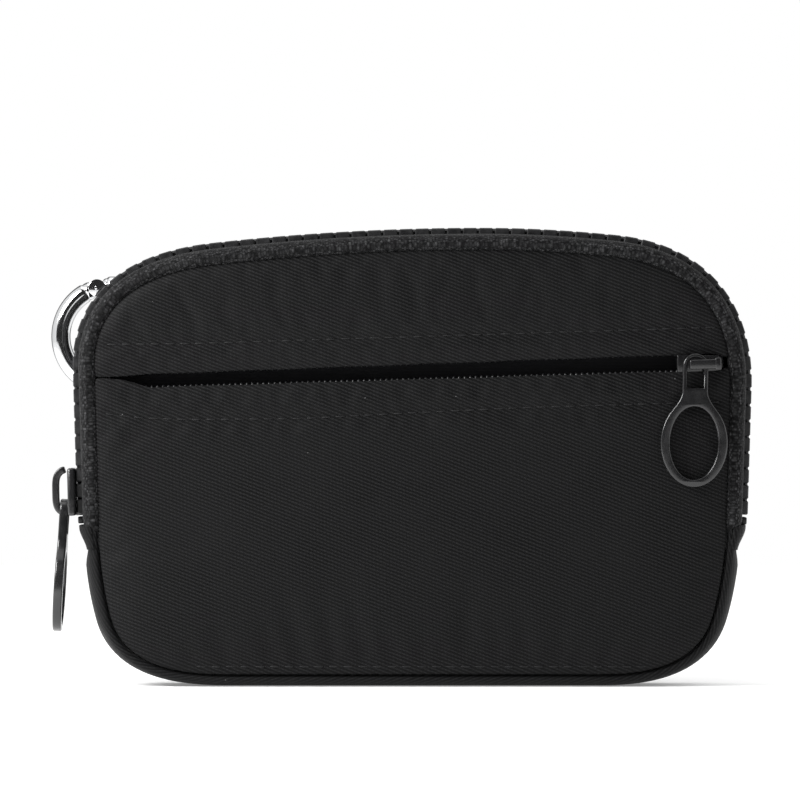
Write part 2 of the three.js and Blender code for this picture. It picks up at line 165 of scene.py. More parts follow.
def within(points, outline):
    x, z = points[:, :1], points[:, 1:]
    a, b = outline, np.roll(outline, -1, 0)
    rise = np.where(b[:, 1] == a[:, 1], 1e-9, b[:, 1] - a[:, 1])
    meets = a[:, 0] + (z - a[:, 1]) * (b[:, 0] - a[:, 0]) / rise
    return (((a[:, 1] > z) != (b[:, 1] > z)) & (x < meets)).sum(1) % 2 == 1


def distance_to(points, line):
    return np.sqrt(((points[:, None] - line[None]) ** 2).sum(2)).min(1)


def make_piece(name, points_mm, faces, uv_mm=None):
    """A mesh piece from points in mm, with a UV map in centimetres of cloth."""
    mesh = bpy.data.meshes.new(name)
    mesh.from_pydata([tuple(p) for p in np.asarray(points_mm) * MM], [], [tuple(f) for f in faces])
    mesh.update()
    piece = bpy.data.objects.new(name, mesh)
    bpy.context.collection.objects.link(piece)
    if uv_mm is not None:
        corner = np.zeros(len(mesh.loops), np.int32)
        mesh.loops.foreach_get("vertex_index", corner)
        layer = mesh.uv_layers.new(name="cloth")
        layer.data.foreach_set("uv", (np.asarray(uv_mm)[corner] / 10).astype(np.float32).ravel())
    mesh.shade_smooth()
    return piece


def apply_modifiers(piece):
    bpy.ops.object.select_all(action="DESELECT")
    bpy.context.view_layer.objects.active = piece
    piece.select_set(True)
    for modifier in list(piece.modifiers):
        bpy.ops.object.modifier_apply(modifier=modifier.name)
    piece.select_set(False)


def thicken(piece, thickness_mm, offset=-1):
    wall = piece.modifiers.new("wall", "SOLIDIFY")
    wall.thickness = thickness_mm * MM
    wall.offset = offset
    apply_modifiers(piece)
    piece.data.shade_smooth()


def cut_cloth(outline, spacing):
    """Even triangles inside an outline in mm; the outline's own points come first."""
    low, high = outline.min(0), outline.max(0)
    rows = np.arange(low[1] + spacing / 2, high[1], spacing * 0.866)
    lattice = np.array([(x + (k % 2) * spacing / 2, z) for k, z in enumerate(rows)
                        for x in np.arange(low[0], high[0], spacing)])
    lattice = lattice[within(lattice, outline)]
    lattice = lattice[distance_to(lattice, outline) > 0.6 * spacing]
    points = np.vstack([outline, lattice])
    rim = len(outline)
    edges = [(i, (i + 1) % rim) for i in range(rim)]
    done = delaunay_2d_cdt([Vector(p) for p in points], edges, [], 1, 1e-6)
    return np.array([tuple(p) for p in done[0]]), [tuple(f) for f in done[2]]


def facing(flat, triangles, side):
    """The triangles turned to look to the front (side -1) or to the back (side 1)."""
    a, b, c = (flat[[t[k] for t in triangles]] for k in range(3))
    turned = np.cross(b - a, c - a).mean() > 0
    return [t if turned == (side < 0) else t[::-1] for t in triangles]


def grid_faces(rows, count, closed=False):
    """Quads between neighbouring rows of count points each; closed joins a row's two ends."""
    return [(r * count + c, r * count + (c + 1) % count, (r + 1) * count + (c + 1) % count, (r + 1) * count + c)
            for r in range(rows - 1) for c in range(count if closed else count - 1)]


def settle(piece, held, cap_mm):
    """Blows the cloth out a little between its sewn lines with a short cloth run, ten times size."""
    mesh = piece.data
    start = np.zeros(len(mesh.vertices) * 3)
    mesh.vertices.foreach_get("co", start)
    mesh.vertices.foreach_set("co", start * CLOTH_ENLARGED)
    mesh.update()
    group = piece.vertex_groups.new(name="sewn")
    group.add([int(i) for i in held], 1, "REPLACE")
    cloth = piece.modifiers.new("settle", "CLOTH")
    rule = cloth.settings
    rule.quality = 6
    rule.mass = 0.3
    rule.tension_stiffness = 20
    rule.compression_stiffness = 20
    rule.shear_stiffness = 8
    rule.bending_stiffness = 1.5
    rule.vertex_group_mass = "sewn"
    rule.shrink_min = -CLOTH_STRETCH
    rule.use_pressure = True
    rule.uniform_pressure_force = CLOTH_PUSH
    rule.effector_weights.gravity = 0
    cloth.collision_settings.use_collision = False
    cloth.point_cache.frame_end = CLOTH_STEPS
    for step in range(1, CLOTH_STEPS + 1):
        bpy.context.scene.frame_set(step)
    run = piece.evaluated_get(bpy.context.evaluated_depsgraph_get()).to_mesh()
    ended = np.zeros(len(run.vertices) * 3)
    run.vertices.foreach_get("co", ended)
    piece.modifiers.remove(cloth)
    piece.vertex_groups.clear()
    bpy.context.scene.frame_set(1)
    start, ended = start.reshape(-1, 3), ended.reshape(-1, 3) / CLOTH_ENLARGED
    moved = (ended - start) / MM
    limit = np.asarray(cap_mm)
    moved[:, 1] = limit * np.tanh(moved[:, 1] / np.maximum(limit, 1e-6))
    moved[:, [0, 2]] = np.clip(moved[:, [0, 2]], -0.4, 0.4)
    mesh.vertices.foreach_set("co", (start + moved * MM).ravel())
    mesh.update()


def turn_in(points, faces, rim, normals, depth, side):
    """Rolls a panel's rim round to its back in three steps, as a turned and sewn edge does."""
    steps = [(0.36, 0.18), (0.52, 0.5), (0.36, 0.86), (-0.5, 1.0)]
    rings, everything = [list(range(rim))], [points]
    total = len(points)
    for out, back in steps:
        ring = points[:rim].copy()
        ring[:, [0, 2]] += normals * (out * np.minimum(depth, 1.0))[:, None]
        ring[:, 1] -= side * back * depth
        everything.append(ring)
        rings.append(list(range(total, total + rim)))
        total += rim
    for inner, outer in zip(rings, rings[1:]):
        for i in range(rim):
            k = (i + 1) % rim
            quad = (inner[i], outer[i], outer[k], inner[k])
            faces.append(quad if side < 0 else quad[::-1])
    return np.vstack(everything), faces


def panel(name, outline, lip, shape, cap, held, side):
    """One sewn panel: cut, shaped, settled, its rim turned in. lip marks the rim's lip points."""
    flat, triangles = cut_cloth(outline, 1.5)
    edge = distance_to(flat, space_out(np.vstack([outline, outline[:1]]), 0.5))
    points = np.stack([flat[:, 0], side * shape(flat[:, 0], flat[:, 1], edge), flat[:, 1]], 1)
    triangles = facing(flat, triangles, side)
    rough = make_piece(name + "_cut", points, triangles)
    settle(rough, np.where((edge < 0.3) | held(flat[:, 0], flat[:, 1]))[0], cap(flat[:, 0], flat[:, 1], edge))
    settled = np.zeros(len(points) * 3)
    rough.data.vertices.foreach_get("co", settled)
    bpy.data.objects.remove(rough)
    settled = settled.reshape(-1, 3) / MM
    rim = len(outline)
    along = np.roll(outline, -1, 0) - np.roll(outline, 1, 0)
    along /= np.linalg.norm(along, axis=1)[:, None]
    out = np.stack([along[:, 1], -along[:, 0]], 1)
    depth = np.where(lip, 0.62, 1.2)
    whole, faces = turn_in(settled, triangles, rim, out, depth, side)
    piece = make_piece(name, whole, faces, whole[:, [0, 2]])
    thicken(piece, 0.25)
    finer = piece.modifiers.new("finer", "SUBSURF")
    finer.levels = finer.render_levels = 1
    apply_modifiers(piece)
    piece.data.shade_smooth()
    return piece


def rim_between(first, last, lip_line):
    """Outline of a panel: along the seam from one share to another, then back along a lip."""
    sewn = beside_seam(np.linspace(first, last, round(abs(last - first) * SEAM_LENGTH / RIM_SPACING)), PANEL_EDGE)
    ends = (sewn[-1, 0], sewn[0, 0])
    x = np.linspace(*ends, 110)[1:-1]
    lips = np.stack([x, lip_line(x)], 1)
    outline = np.vstack([sewn, lips])
    return outline, np.arange(len(outline)) >= len(sewn)


PANEL_EDGE = -0.35


def pocket_shape(x, z, edge):
    crown = 0.75 * (1 - np.exp(-edge / 2.6)) + 0.5 * (1 - smooth_step(z, 20, 44)) * (1 - np.exp(-edge / 9))
    dip = 0.55 * np.exp(-((z - lower_stitch(x)) / 1.0) ** 2)
    return 8.75 + crown - dip * smooth_step(edge, 0.3, 2.5)


def pocket_cap(x, z, edge):
    return 0.22 + 0.7 * (1 - smooth_step(z, 26, 46))


pocket_rim, pocket_lip = rim_between(crossing(lower_lip, "left") - 1, crossing(lower_lip, "right"), lower_lip)
pocket_panel = panel("pocket_panel", pocket_rim, pocket_lip, pocket_shape, pocket_cap,
                     lambda x, z: abs(z - lower_stitch(x)) < STITCH_HOLD, -1)


def upper_shape(x, z, edge):
    crown = 0.8 * (1 - np.exp(-edge / 2.6))
    dip = 0.5 * np.exp(-((z - upper_stitch(x)) / 1.0) ** 2)
    return 8.7 + crown - dip * smooth_step(edge, 0.3, 2.5)


upper_rim, on_upper_lip = rim_between(crossing(upper_lip, "right"), crossing(upper_lip, "left"), upper_lip)
upper_panel = panel("front_upper_cloth", upper_rim, on_upper_lip, upper_shape, lambda x, z, edge: 0.35 + 0 * x,
                    lambda x, z: abs(z - upper_stitch(x)) < STITCH_HOLD, -1)

TAB_FOOT = (-45.0, 74.9)


def back_shape(x, z, edge):
    under_tab = np.exp(-(((x - TAB_FOOT[0]) / 9) ** 2 + ((z - TAB_FOOT[1]) / 6) ** 2) ** 2)
    return 8.75 + 0.9 * (1 - np.exp(-edge / 3)) * (1 - 0.75 * under_tab)


back_rim = all_round(RIM_SPACING, PANEL_EDGE)
back_cloth = panel("back_cloth", back_rim, np.zeros(len(back_rim), bool), back_shape,
                   lambda x, z, edge: 0.5 + 0 * x,
                   lambda x, z: (abs(x - TAB_FOOT[0]) < 9) & (abs(z - TAB_FOOT[1]) < 5), 1)


def new_group(name, inputs, outputs):
    """An empty shader node group with float or vector inputs."""
    tree = bpy.data.node_groups.new(name, "ShaderNodeTree")
    for label, kind, value in inputs:
        socket = tree.interface.new_socket(label, in_out="INPUT", socket_type=kind)
        if value is not None:
            socket.default_value = value
    for label, kind in outputs:
        tree.interface.new_socket(label, in_out="OUTPUT", socket_type=kind)
    return tree, tree.nodes.new("NodeGroupInput"), tree.nodes.new("NodeGroupOutput")


def math_node(tree, operation, first, second=None, third=None):
    node = tree.nodes.new("ShaderNodeMath")
    node.operation = operation
    for socket, value in zip(node.inputs, (first, second, third)):
        if value is None:
            continue
        if isinstance(value, (int, float)):
            socket.default_value = value
        else:
            tree.links.new(value, socket)
    return node.outputs[0]


def weave_group():
    """Slanting ribs of a woven cloth, crossed by its threads, with uneven yarn."""
    tree, given, result = new_group(
        "weave", [("Vector", "NodeSocketVector", None), ("Rib", "NodeSocketFloat", 0.07),
                  ("Thread", "NodeSocketFloat", 0.04), ("Uneven", "NodeSocketFloat", 0.3)],
        [("Ribs", "NodeSocketFloat")])

    def wave(value):
        turned = math_node(tree, "SINE", math_node(tree, "MULTIPLY", value, math.tau))
        return math_node(tree, "MULTIPLY_ADD", turned, 0.5, 0.5)

    part = tree.nodes.new("ShaderNodeSeparateXYZ")
    tree.links.new(given.outputs["Vector"], part.inputs[0])
    cloudy = tree.nodes.new("ShaderNodeTexNoise")
    cloudy.inputs["Scale"].default_value = 9.0
    cloudy.inputs["Detail"].default_value = 3.0
    tree.links.new(given.outputs["Vector"], cloudy.inputs["Vector"])
    drift = math_node(tree, "MULTIPLY", cloudy.outputs["Fac"], 0.35)
    row = math_node(tree, "ADD", math_node(tree, "DIVIDE", part.outputs["Y"], given.outputs["Rib"]), drift)
    rib = math_node(tree, "POWER", wave(row), 1.7)
    shift = math_node(tree, "MULTIPLY", math_node(tree, "FLOOR", row), 0.37)
    column = math_node(tree, "ADD", math_node(tree, "DIVIDE", part.outputs["X"], given.outputs["Thread"]), shift)
    yarn = wave(column)
    speck = tree.nodes.new("ShaderNodeTexNoise")
    speck.inputs["Scale"].default_value = 60.0
    speck.inputs["Detail"].default_value = 2.0
    tree.links.new(given.outputs["Vector"], speck.inputs["Vector"])
    speckle = math_node(tree, "SUBTRACT", speck.outputs["Fac"], 0.5)
    rough = math_node(tree, "MULTIPLY", speckle, given.outputs["Uneven"])
    crossed = math_node(tree, "MULTIPLY", rib, math_node(tree, "MULTIPLY_ADD", yarn, 0.45, 0.55))
    ribs = math_node(tree, "ADD", crossed, rough)
    tree.links.new(ribs, result.inputs["Ribs"])
    return tree


def patches_group():
    """Broad soft variation of a surface, for cloth that has been handled, and for rubbed metal."""
    tree, given, result = new_group(
        "patches", [("Vector", "NodeSocketVector", None), ("Scale", "NodeSocketFloat", 2.0)],
        [("Mask", "NodeSocketFloat")])
    broad = tree.nodes.new("ShaderNodeTexNoise")
    broad.inputs["Detail"].default_value = 4.0
    broad.inputs["Roughness"].default_value = 0.6
    tree.links.new(given.outputs["Vector"], broad.inputs["Vector"])
    tree.links.new(given.outputs["Scale"], broad.inputs["Scale"])
    spread = tree.nodes.new("ShaderNodeMapRange")
    spread.inputs["From Min"].default_value = 0.3
    spread.inputs["From Max"].default_value = 0.7
    tree.links.new(broad.outputs["Fac"], spread.inputs["Value"])
    tree.links.new(spread.outputs["Result"], result.inputs["Mask"])
    return tree


def lint_group():
    """Sparse pale specks of dust and fibre caught in cloth."""
    tree, given, result = new_group(
        "lint", [("Vector", "NodeSocketVector", None), ("Amount", "NodeSocketFloat", 0.03)],
        [("Mask", "NodeSocketFloat")])
    cells = tree.nodes.new("ShaderNodeTexVoronoi")
    cells.inputs["Scale"].default_value = 1.6
    tree.links.new(given.outputs["Vector"], cells.inputs["Vector"])
    near = math_node(tree, "LESS_THAN", cells.outputs["Distance"], given.outputs["Amount"])
    tree.links.new(near, result.inputs["Mask"])
    return tree


WEAVE, PATCHES, LINT = weave_group(), patches_group(), lint_group()


def placed_group(tree, group, vector, **values):
    node = tree.nodes.new("ShaderNodeGroup")
    node.node_tree = group
    tree.links.new(vector, node.inputs["Vector"])
    for label, value in values.items():
        node.inputs[label].default_value = value
    return node.outputs


def colour_mix(tree, factor, first, second):
    node = tree.nodes.new("ShaderNodeMix")
    node.data_type = "RGBA"
    tree.links.new(factor, node.inputs["Factor"])
    for socket, value in ((node.inputs["A"], first), (node.inputs["B"], second)):
        if isinstance(value, tuple):
            socket.default_value = (*value, 1)
        else:
            tree.links.new(value, socket)
    return node.outputs["Result"]


def start_material(name, roughness, **sockets):
    finish = bpy.data.materials.new(name)
    finish.use_nodes = True
    shader = finish.node_tree.nodes["Principled BSDF"]
    shader.inputs["Roughness"].default_value = roughness
    for label, value in sockets.items():
        shader.inputs[label.replace("_", " ")].default_value = value
    return finish, finish.node_tree, shader


def patchy(name, roughness, scale, dark, light, rub=None, **sockets):
    """A hard or glossy finish whose tone, and by rub (share, least) its roughness, varies softly."""
    finish, tree, shader = start_material(name, roughness, **sockets)
    place = tree.nodes.new("ShaderNodeTexCoord")
    mask = placed_group(tree, PATCHES, place.outputs["Object"], Scale=scale)["Mask"]
    tree.links.new(colour_mix(tree, mask, dark, light), shader.inputs["Base Color"])
    if rub:
        tree.links.new(math_node(tree, "MULTIPLY_ADD", mask, *rub), shader.inputs["Roughness"])
    return finish


def woven(name, dark, light, rib, thread, slope, bump, roughness, uneven=0.3, sheen=0.02, lint=0.016):
    """A woven cloth: ribs at a slope in its own UV map, handled patches, a little lint."""
    finish, tree, shader = start_material(name, roughness, Sheen_Weight=sheen, Sheen_Roughness=0.45,
                                          Specular_IOR_Level=0.1)
    cloth = tree.nodes.new("ShaderNodeUVMap")
    cloth.uv_map = "cloth"
    turned = tree.nodes.new("ShaderNodeMapping")
    turned.inputs["Rotation"].default_value = (0, 0, math.radians(slope))
    tree.links.new(cloth.outputs[0], turned.inputs["Vector"])
    ribs = placed_group(tree, WEAVE, turned.outputs[0], Rib=rib, Thread=thread, Uneven=uneven)
    handled = placed_group(tree, PATCHES, cloth.outputs[0], Scale=0.55)
    tone = colour_mix(tree, ribs["Ribs"], dark, light)
    mid = tuple((a + b) * 0.55 for a, b in zip(dark, light))
    softened = colour_mix(tree, math_node(tree, "MULTIPLY", handled["Mask"], 0.3), tone, mid)
    specks = placed_group(tree, LINT, cloth.outputs[0], Amount=lint)
    dusting = math_node(tree, "MULTIPLY", specks["Mask"], 0.5)
    tree.links.new(colour_mix(tree, dusting, softened, (0.25, 0.25, 0.25)), shader.inputs["Base Color"])
    tree.links.new(math_node(tree, "MULTIPLY_ADD", handled["Mask"], 0.12, roughness - 0.06),
                   shader.inputs["Roughness"])
    relief = tree.nodes.new("ShaderNodeBump")
    relief.inputs["Strength"].default_value = 0.7
    relief.inputs["Distance"].default_value = bump * MM
    tree.links.new(ribs["Ribs"], relief.inputs["Height"])
    tree.links.new(relief.outputs[0], shader.inputs["Normal"])
    return finish


BLACK_TWILL = woven("black twill", (0.0012, 0.0012, 0.0013), (0.0145, 0.0145, 0.015), 0.068, 0.075, 21, 0.045,
                    0.6, uneven=0.75)


def dress(piece, finish):
    piece.data.materials.clear()
    piece.data.materials.append(finish)


dress(pocket_panel, BLACK_TWILL)
dress(upper_panel, BLACK_TWILL)
dress(back_cloth, BLACK_TWILL)
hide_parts("pocket_panel_upper", "pocket_panel_lower")
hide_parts("front_upper_panel")
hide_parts("back_panel")
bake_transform(pocket_panel)
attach(upper_panel, "front_flap")
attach(back_cloth, "shell")


# ---- Linings and pocket bag --------------------------------------------------------------------
# Thin plain-woven lining behind each outer panel and the inner sheet of the front pocket, caught
# in the same seam. They hang loose, so they carry a few slack ripples.
def slack_sheet(name, outline, depth_mm, side):
    flat, triangles = cut_cloth(outline, 2.6)
    edge = distance_to(flat, space_out(np.vstack([outline, outline[:1]]), 0.8))
    x, z = flat.T
    ripple = np.sin(x / 9 + z / 23) * np.sin(z / 7 - x / 31) * 0.16 * smooth_step(edge, 0, 8)
    triangles = facing(flat, triangles, side)
    piece = make_piece(name, np.stack([x, depth_mm + ripple, z], 1), triangles, flat)
    thicken(piece, 0.18)
    return piece


LINING_CLOTH = woven("lining cloth", (0.008, 0.008, 0.009), (0.022, 0.022, 0.024), 0.03, 0.03, 0, 0.03, 0.7)
lining_rim = all_round(2.4, 0.9)
back_lining = slack_sheet("back_lining_cloth", lining_rim, 7.15, -1)
front_lining = slack_sheet("front_lining_cloth", lining_rim, -0.62, 1)
bag_turns = np.linspace(seam_at(76, "left") - 1, seam_at(76, "right"), round(SEAM_LENGTH / 3.2))
bag_sewn = beside_seam(bag_turns, -0.2)
bag_rim = np.vstack([bag_sewn, space_out(bag_sewn[[-1, 0]], 2.6)[1:-1]])
bag_rim[:, 1] = np.maximum(bag_rim[:, 1], 7.0)
bag_rim = bag_rim[np.linalg.norm(bag_rim - np.roll(bag_rim, 1, 0), axis=1) > 0.3]
pocket_bag = slack_sheet("pocket_bag_cloth", bag_rim, -1.4, -1)
for piece, nodes, area in ((front_lining, ("front_lining_upper", "front_lining_lower"), 0.0107),
                           (pocket_bag, ("pocket_bag_upper", "pocket_bag_lower"), 0.0086)):
    dress(piece, LINING_CLOTH)
    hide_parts(*nodes)
    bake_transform(piece)
dress(back_lining, LINING_CLOTH)
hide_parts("back_lining")
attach(back_lining, "shell")


# ---- Bottom gusset and zip-end tabs --------------------------------------------------------------
# A strip of the same twill runs from one zip end under the pouch to the other, and its ends are
# folded over the zip tapes as two ear-shaped tabs.
def swept_strip(name, turns, section_at, thickness):
    """Cloth strip swept along the seam: section_at gives (offset, y) pairs in mm at a share."""
    sections = [np.array(section_at(turn), float) for turn in turns]
    count = len(sections[0])
    rows = []
    for turn, section in zip(turns, sections):
        flat = beside_seam(np.full(count, turn), section[:, 0])
        rows.append(np.stack([flat[:, 0], section[:, 1], flat[:, 1]], 1))
    across = np.concatenate([[0], np.cumsum(np.linalg.norm(np.diff(sections[0], axis=0), axis=1))])
    uv = [np.stack([np.full(count, turn * SEAM_LENGTH), across], 1) for turn in turns]
    piece = make_piece(name, np.vstack(rows), grid_faces(len(rows), count), np.vstack(uv))
    thicken(piece, thickness)
    return piece


def lean_of(turn):
    """How far the band faces sideways at a place: 0 under the pouch, 1 at its sides."""
    return abs(float(SEAM_OUT[int((turn % 1) * len(SEAM)) % len(SEAM), 0]))


def height_of(turn):
    return float(beside_seam(turn, 0.0)[1])


def gusset_section(turn):
    z = height_of(turn)
    swell = 0.9 * lean_of(turn) ** 1.5 * (1 - float(smooth_step(z, 24, 29)))
    half = [(0.2, 7.5), (0.75, 8.35), (1.3, 8.5), (1.9, 8.0), (2.3 + swell * 0.4, 6.6), (2.5 + swell * 0.8, 4.4),
            (2.58 + swell, 2.0)]
    return [(o, -y) for o, y in half] + [(2.6 + swell, 0)] + [(o, y) for o, y in half[::-1]]


gusset_ends = (seam_at(32.4, "left") - 1, seam_at(32.4, "right"))
gusset = swept_strip("gusset_cloth", np.linspace(*gusset_ends, 150), gusset_section, 0.5)
dress(gusset, BLACK_TWILL)
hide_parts("bottom_gusset")
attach(gusset, "shell")


def tab_section(turn):
    flare = 0.25 + 1.3 * float(smooth_step(height_of(turn), 27.4, 32.0))
    half = [(1.15 + 0.3 * flare, 8.75), (1.9 + 0.5 * flare, 8.35), (2.4 + 0.8 * flare, 7.0), (2.65 + flare, 4.6),
            (2.7 + flare, 2.0)]
    return [(o, -y) for o, y in half] + [(2.7 + flare, 0)] + [(o, y) for o, y in half[::-1]]


for side in ("left", "right"):
    tab_turns = np.linspace(seam_at(27.6, side), seam_at(32.45, side), 14)
    tab = swept_strip("folded_tab_" + side, np.sort(tab_turns), tab_section, 0.55)
    dress(tab, BLACK_TWILL)
    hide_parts("zip_end_tab_" + side)
    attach(tab, "shell")


# ---- Topstitching --------------------------------------------------------------------------------
# Black nylon thread, one row below the lower lip, one above the upper lip and one along the bottom
# edge. Each stitch is a short rounded float pulled into the cloth at both ends.
THREAD = patchy("black thread", 0.5, 900.0, (0.002, 0.002, 0.0023), (0.009, 0.009, 0.0095),
                Specular_IOR_Level=0.3)


def take_mesh():
    """The active primitive's points and faces; the primitive itself is removed."""
    made = bpy.context.active_object
    points = np.array([tuple(v.co) for v in made.data.vertices]) / MM
    faces = [tuple(p.vertices) for p in made.data.polygons]
    bpy.data.objects.remove(made)
    return points, faces


bpy.ops.mesh.primitive_uv_sphere_add(segments=8, ring_count=6, radius=1 * MM)
STITCH_POINTS, STITCH_FACES = take_mesh()


def repeat_along(name, shape, faces, places):
    """Copies one small shape (mm) to many places, each a 4x4 matrix in mm, as one piece."""
    points, all_faces = [], []
    for k, place in enumerate(places):
        points.append(shape @ place[:3, :3].T + place[:3, 3])
        all_faces += [tuple(i + k * len(shape) for i in f) for f in faces]
    return make_piece(name, np.vstack(points), all_faces)


def lay_on(piece, x, z, side):
    """Where the piece's outer surface is at x, z (mm), looking from the front or the back."""
    ready = bpy.context.evaluated_depsgraph_get()
    tree = lay_on.trees.setdefault(piece.name, BVHTree.FromObject(piece, ready))
    hit = tree.ray_cast(Vector((x, side * 40, z)) * MM, Vector((0, -side, 0)))
    return hit[0].y / MM if hit[0] is not None else side * 9.3


lay_on.trees = {}


def stitch_row(name, line, cloth, side, pitch=2.9, length=2.2, thick=0.2):
    """A row of stitches in mm along an (x, z) line, on the outer face of a cloth piece."""
    spots = space_out(line, pitch)
    places = []
    for here, there in zip(spots, spots[1:]):
        middle, along = (here + there) / 2, (there - here) / np.linalg.norm(there - here)
        y = lay_on(cloth, middle[0], middle[1], side)
        place = np.eye(4)
        place[:3, 0] = np.array([along[0], 0, along[1]]) * length / 2
        place[:3, 1] = np.array([0, 1, 0]) * thick
        place[:3, 2] = np.array([-along[1], 0, along[0]]) * thick
        place[:3, 3] = (middle[0], y - side * 0.02, middle[1])
        places.append(place)
    row = repeat_along(name, STITCH_POINTS, STITCH_FACES, places)
    dress(row, THREAD)
    return row


row_x = np.linspace(-62.2, 61.6, 90)
lower_row = stitch_row("stitches_lower_lip", np.stack([row_x, lower_stitch(row_x)], 1), pocket_panel, -1)
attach(lower_row, "front_flap")
row_x = np.linspace(-61.9, 60.8, 90)
upper_row = stitch_row("stitches_upper_lip", np.stack([row_x, upper_stitch(row_x)], 1), upper_panel, -1)
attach(upper_row, "front_flap")
for side, cloth, name in ((-1, pocket_panel, "stitches_bottom_front"), (1, back_cloth, "stitches_bottom_back")):
    row_x = np.linspace(-44, 47, 60)
    bottom_row = stitch_row(name, np.stack([row_x, np.full(60, 4.1)], 1), cloth, side)
    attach(bottom_row, "shell")


# ---- Main zip ------------------------------------------------------------------------------------
# Two coarse woven tapes sewn beside the panels, each with a row of moulded black teeth gripped on
# its edge. The two rows mesh over the top, and a stop closes each end.
def tape_section(side):
    face = [(0.1, 7.3), (0.45, 8.25), (0.95, 8.8), (1.55, 8.95), (2.15, 8.7), (2.6, 8.0), (2.85, 6.6), (2.95, 4.6),
            (2.95, 2.6), (2.95, 0.75)]

    def at(turn):
        tuck = 1.5 * (1 - float(smooth_step(height_of(turn), 30.5, 33.2)))
        return [(o - tuck * min(1, (o + 0.4) / 2), side * (y - tuck * min(1, y / 6))) for o, y in face][::side]
    return at


def grained_with_painted_highlight(name, dark, light, grain, bump, roughness):
    """A coarse woven tape: uneven raised yarn over a plain weave, the top of each raised grain painted lighter as
    a painted highlight whose strength varies at random.
    """
    finish = woven(name, dark, light, grain * 1.9, grain * 1.5, 0, bump, roughness, uneven=1.5)
    tree = finish.node_tree
    shader = tree.nodes["Principled BSDF"]
    cloth = next(node for node in tree.nodes if node.type == "UVMAP")
    cells = tree.nodes.new("ShaderNodeTexVoronoi")
    cells.inputs["Scale"].default_value = 1 / grain
    cells.inputs["Randomness"].default_value = 0.75
    evened = tree.nodes.new("ShaderNodeMapping")
    evened.inputs["Scale"].default_value = (1, 2.1, 1)
    tree.links.new(cloth.outputs[0], evened.inputs["Vector"])
    tree.links.new(evened.outputs[0], cells.inputs["Vector"])
    bead = math_node(tree, "SUBTRACT", 0.75, cells.outputs["Distance"])
    shade = tree.nodes.new("ShaderNodeSeparateColor")
    tree.links.new(cells.outputs["Color"], shade.inputs[0])
    uneven = math_node(tree, "POWER", shade.outputs["Red"], 1.5)
    weave = next(node for node in tree.nodes if node.type == "GROUP" and node.node_tree == WEAVE)
    grain_relief_and_highlight = math_node(tree, "MULTIPLY", math_node(tree, "MULTIPLY_ADD", weave.outputs["Ribs"], 0.4, 0.6),
                       math_node(tree, "MULTIPLY", bead, math_node(tree, "MULTIPLY_ADD", uneven, 1.3, 0.25)))
    # The grain tone paints the top of each raised grain lighter: a painted highlight on the yarn, drawn from the
    # same signal as the relief.
    tree.links.new(colour_mix(tree, grain_relief_and_highlight, dark, light), shader.inputs["Base Color"])
    relief = next(node for node in tree.nodes if node.type == "BUMP")
    tree.links.new(grain_relief_and_highlight, relief.inputs["Height"])
    return finish


# The tape's light colour is the painted highlight on the tops of its grains.
ZIP_TAPE = grained_with_painted_highlight("zip tape", (0.002, 0.002, 0.0022), (0.075, 0.075, 0.077), 0.052, 0.2, 0.7)
tape_turns = np.linspace(seam_at(27.5, "right"), seam_at(27.5, "left"), 300)
front_tape = swept_strip("front_tape", tape_turns, tape_section(-1), 0.45)
back_tape = swept_strip("back_tape", tape_turns, tape_section(1), 0.45)
for tape in (front_tape, back_tape):
    dress(tape, ZIP_TAPE)
    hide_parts(tape.name.replace("_tape", "_zip_tape"))

MOULDED = patchy("moulded black", 0.4, 700.0, (0.008, 0.008, 0.0085), (0.02, 0.02, 0.021), (0.2, 0.3),
                 Specular_IOR_Level=0.35)


def rounded_block(size, place, bevel, segments=1):
    """A bevelled block in mm, as points and faces."""
    bpy.ops.mesh.primitive_cube_add(size=1 * MM)
    bpy.ops.object.mode_set(mode="EDIT")
    bpy.ops.transform.resize(value=size)
    bpy.ops.mesh.bevel(offset=bevel * MM, segments=segments, affect="EDGES")
    bpy.ops.object.mode_set(mode="OBJECT")
    points, faces = take_mesh()
    return points + np.array(place), faces


def joined(*parts):
    points, faces, total = [], [], 0
    for p, f in parts:
        points.append(p)
        faces += [tuple(i + total for i in face) for face in f]
        total += len(p)
    return np.vstack(points), faces


CHAIN_OUT = 3.75
# A tooth stands along the zip, outwards and across: a gripping block and a head that meshes.
PLAIN_TOOTH = rounded_block((2.82, 1.75, 2.5), (0, CHAIN_OUT, 1.85), 0.22)
TOOTH = joined(PLAIN_TOOTH, rounded_block((1.42, 1.2, 1.4), (0, CHAIN_OUT, 0.25), 0.16))
TOOTH_PITCH = 3.2


def zip_place(turn, across):
    """Matrix (mm) at a share of the way round: along the seam, outwards, and across the zip."""
    x, z = beside_seam(turn, 0.0)
    ox, oz = SEAM_OUT[int((turn % 1) * len(SEAM))]
    place = np.eye(4)
    place[:3, 0], place[:3, 1], place[:3, 2] = (-oz, 0, ox), (ox, 0, oz), (0, across, 0)
    place[:3, 3] = (x, 0, z)
    return place


def teeth_row(name, side, shift):
    first, last = seam_at(34.3, "right"), seam_at(34.6, "left")
    count = round((last - first) * SEAM_LENGTH / TOOTH_PITCH)
    turns = first + (np.arange(count) + 0.5 + shift) / count * (last - first)
    turns = turns[turns < last - 0.002]
    rows = {True: [], False: []}
    for turn in turns:
        place = zip_place(turn, side)
        rows[bool(place[0, 3] < 0 and place[2, 3] < 58)].append(place)
    points, faces = [], []
    total = 0
    for shape, places in ((TOOTH, rows[False]), (PLAIN_TOOTH, rows[True])):
        for place in places:
            points.append(shape[0] @ place[:3, :3].T + place[:3, 3])
            turned = np.linalg.det(place[:3, :3]) < 0
            faces += [tuple(i + total for i in (f[::-1] if turned else f)) for f in shape[1]]
            total += len(shape[0])
    row = make_piece(name, np.vstack(points), faces)
    row.data.polygons.foreach_set("use_smooth", np.zeros(len(row.data.polygons), bool))
    dress(row, MOULDED)
    return row


